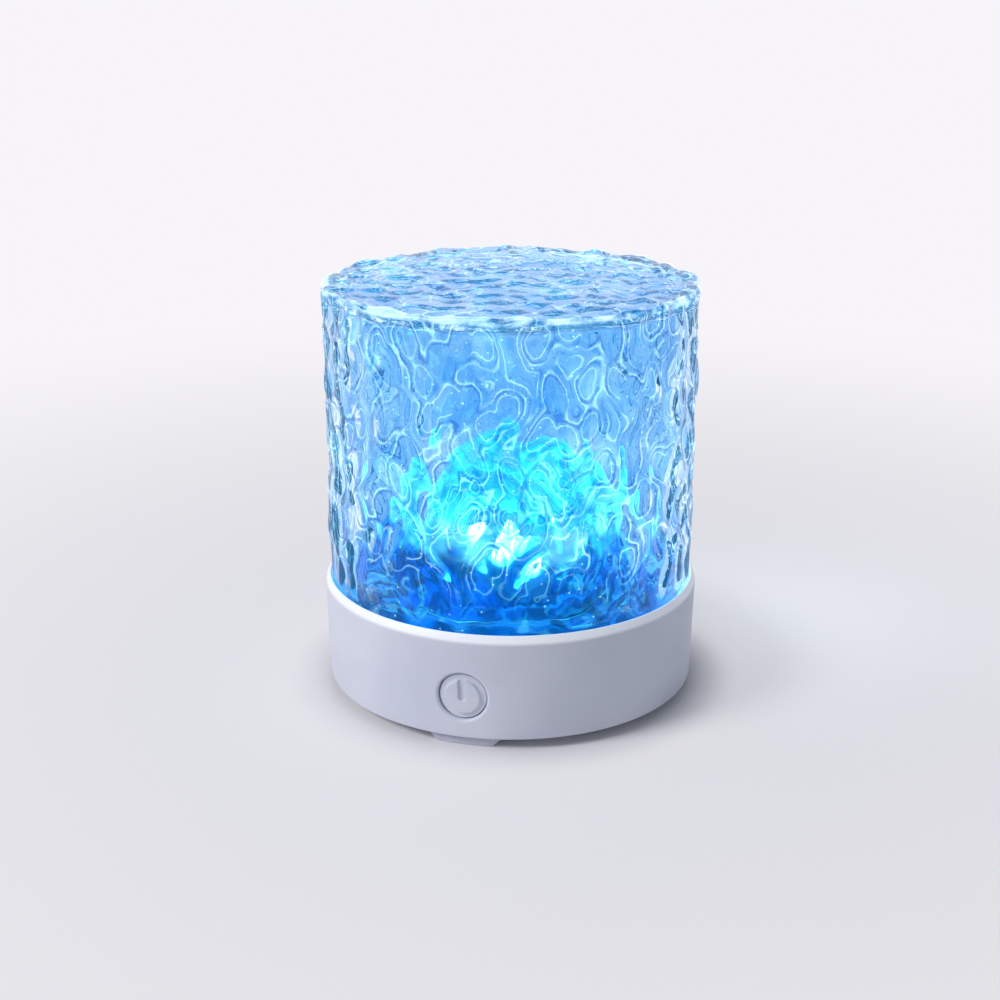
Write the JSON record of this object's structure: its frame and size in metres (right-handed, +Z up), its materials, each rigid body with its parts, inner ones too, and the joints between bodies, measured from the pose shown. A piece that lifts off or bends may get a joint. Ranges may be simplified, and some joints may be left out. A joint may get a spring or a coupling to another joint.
{
  "type": "water wave effect lamp",
  "caption": "Round table lamp with a clear rippled shade on a white base; a geared rippled dome turns over LEDs to throw moving water-like light, with a power button and a USB-C inlet.",
  "frame": {"origin": "on the table under the lamp's middle axis", "axes": "+Z up along the axis, the power button faces -Y, the USB-C inlet faces +Y"},
  "size_m": [0.096, 0.096, 0.1059],
  "materials": {
    "white_abs": "fine satin moulded ABS",
    "clear_shade": "clear polished acrylic, cast in ripples",
    "clear_dome": "clear rippled acrylic, lit cyan from below",
    "blue_lit_plastic": "glossy plastic in deep blue light",
    "grey_silicone": "soft matte silicone",
    "nylon": "natural nylon, smooth",
    "cream_plastic": "smooth moulded plastic",
    "steel": "bright zinc-plated steel",
    "white_board": "white solder mask",
    "led_lens": "clear resin, lit",
    "green_board": "green solder mask",
    "black_plastic": "moulded black plastic",
    "red_wire": "red insulation",
    "black_wire": "black insulation",
    "grey_wire": "grey flat cable"
  },
  "bodies": {
    "root": {"base_shell": "white_abs", "bottom_cover": "white_abs", "deck_plate": "blue_lit_plastic", "shade": "clear_shade", "shade_gasket": "grey_silicone", "foot_front": "grey_silicone", "foot_right": "grey_silicone", "foot_left": "grey_silicone", "deck_screw_1": "steel", "deck_screw_2": "steel", "deck_screw_3": "steel", "deck_screw_4": "steel", "cover_screw_1": "steel", "cover_screw_2": "steel", "cover_screw_3": "steel", "cover_screw_4": "steel", "slip_ring": "nylon", "retainer_1": "nylon", "retainer_2": "nylon", "retainer_3": "nylon", "retainer_screw_1": "steel", "retainer_screw_2": "steel", "retainer_screw_3": "steel", "motor_can": "steel", "motor_plate": "steel", "motor_screw_1": "steel", "motor_screw_2": "steel", "lamp_cup": "blue_lit_plastic", "cup_screw_1": "steel", "cup_screw_2": "steel", "led_board": "white_board", "led_screw_1": "steel", "led_screw_2": "steel", "led_1": "led_lens", "led_2": "led_lens", "led_3": "led_lens", "led_4": "led_lens", "main_board": "green_board", "board_screw_1": "steel", "board_screw_2": "steel", "board_screw_3": "steel", "board_screw_4": "steel", "capacitor": "black_plastic", "controller_chip": "black_plastic", "led_connector": "cream_plastic", "motor_connector": "cream_plastic", "usb_socket": "steel", "power_switch": "black_plastic", "motor_lead_red": "red_wire", "motor_lead_black": "black_wire", "led_ribbon": "grey_wire"},
    "rotor": {"ring_gear": "nylon", "ripple_dome": "clear_dome"},
    "drive_pinion": {"pinion": "cream_plastic", "motor_shaft": "steel"},
    "button": {"power_button": "white_abs", "switch_plunger": "cream_plastic"}
  },
  "joints": [
    {"name": "rotor_spin", "type": "hinge", "parent": "root", "child": "rotor", "pos_m": [0, 0, 0.0275], "axis": [0, 0, 1], "continuous": true},
    {"name": "pinion_spin", "type": "hinge", "parent": "root", "child": "drive_pinion", "pos_m": [0.021, 0, 0.0275], "axis": [0, 0, 1], "continuous": true},
    {"name": "button_press", "type": "slide", "parent": "root", "child": "button", "axis": [0, 1, 0], "range_m": [0, 0.0005], "stiffness_N_per_m": 1200, "springref_m": -0.0005}
  ],
  "couplings": [
    {"joint": "pinion_spin", "follows": "rotor_spin", "ratio": 5.2}
  ]
}
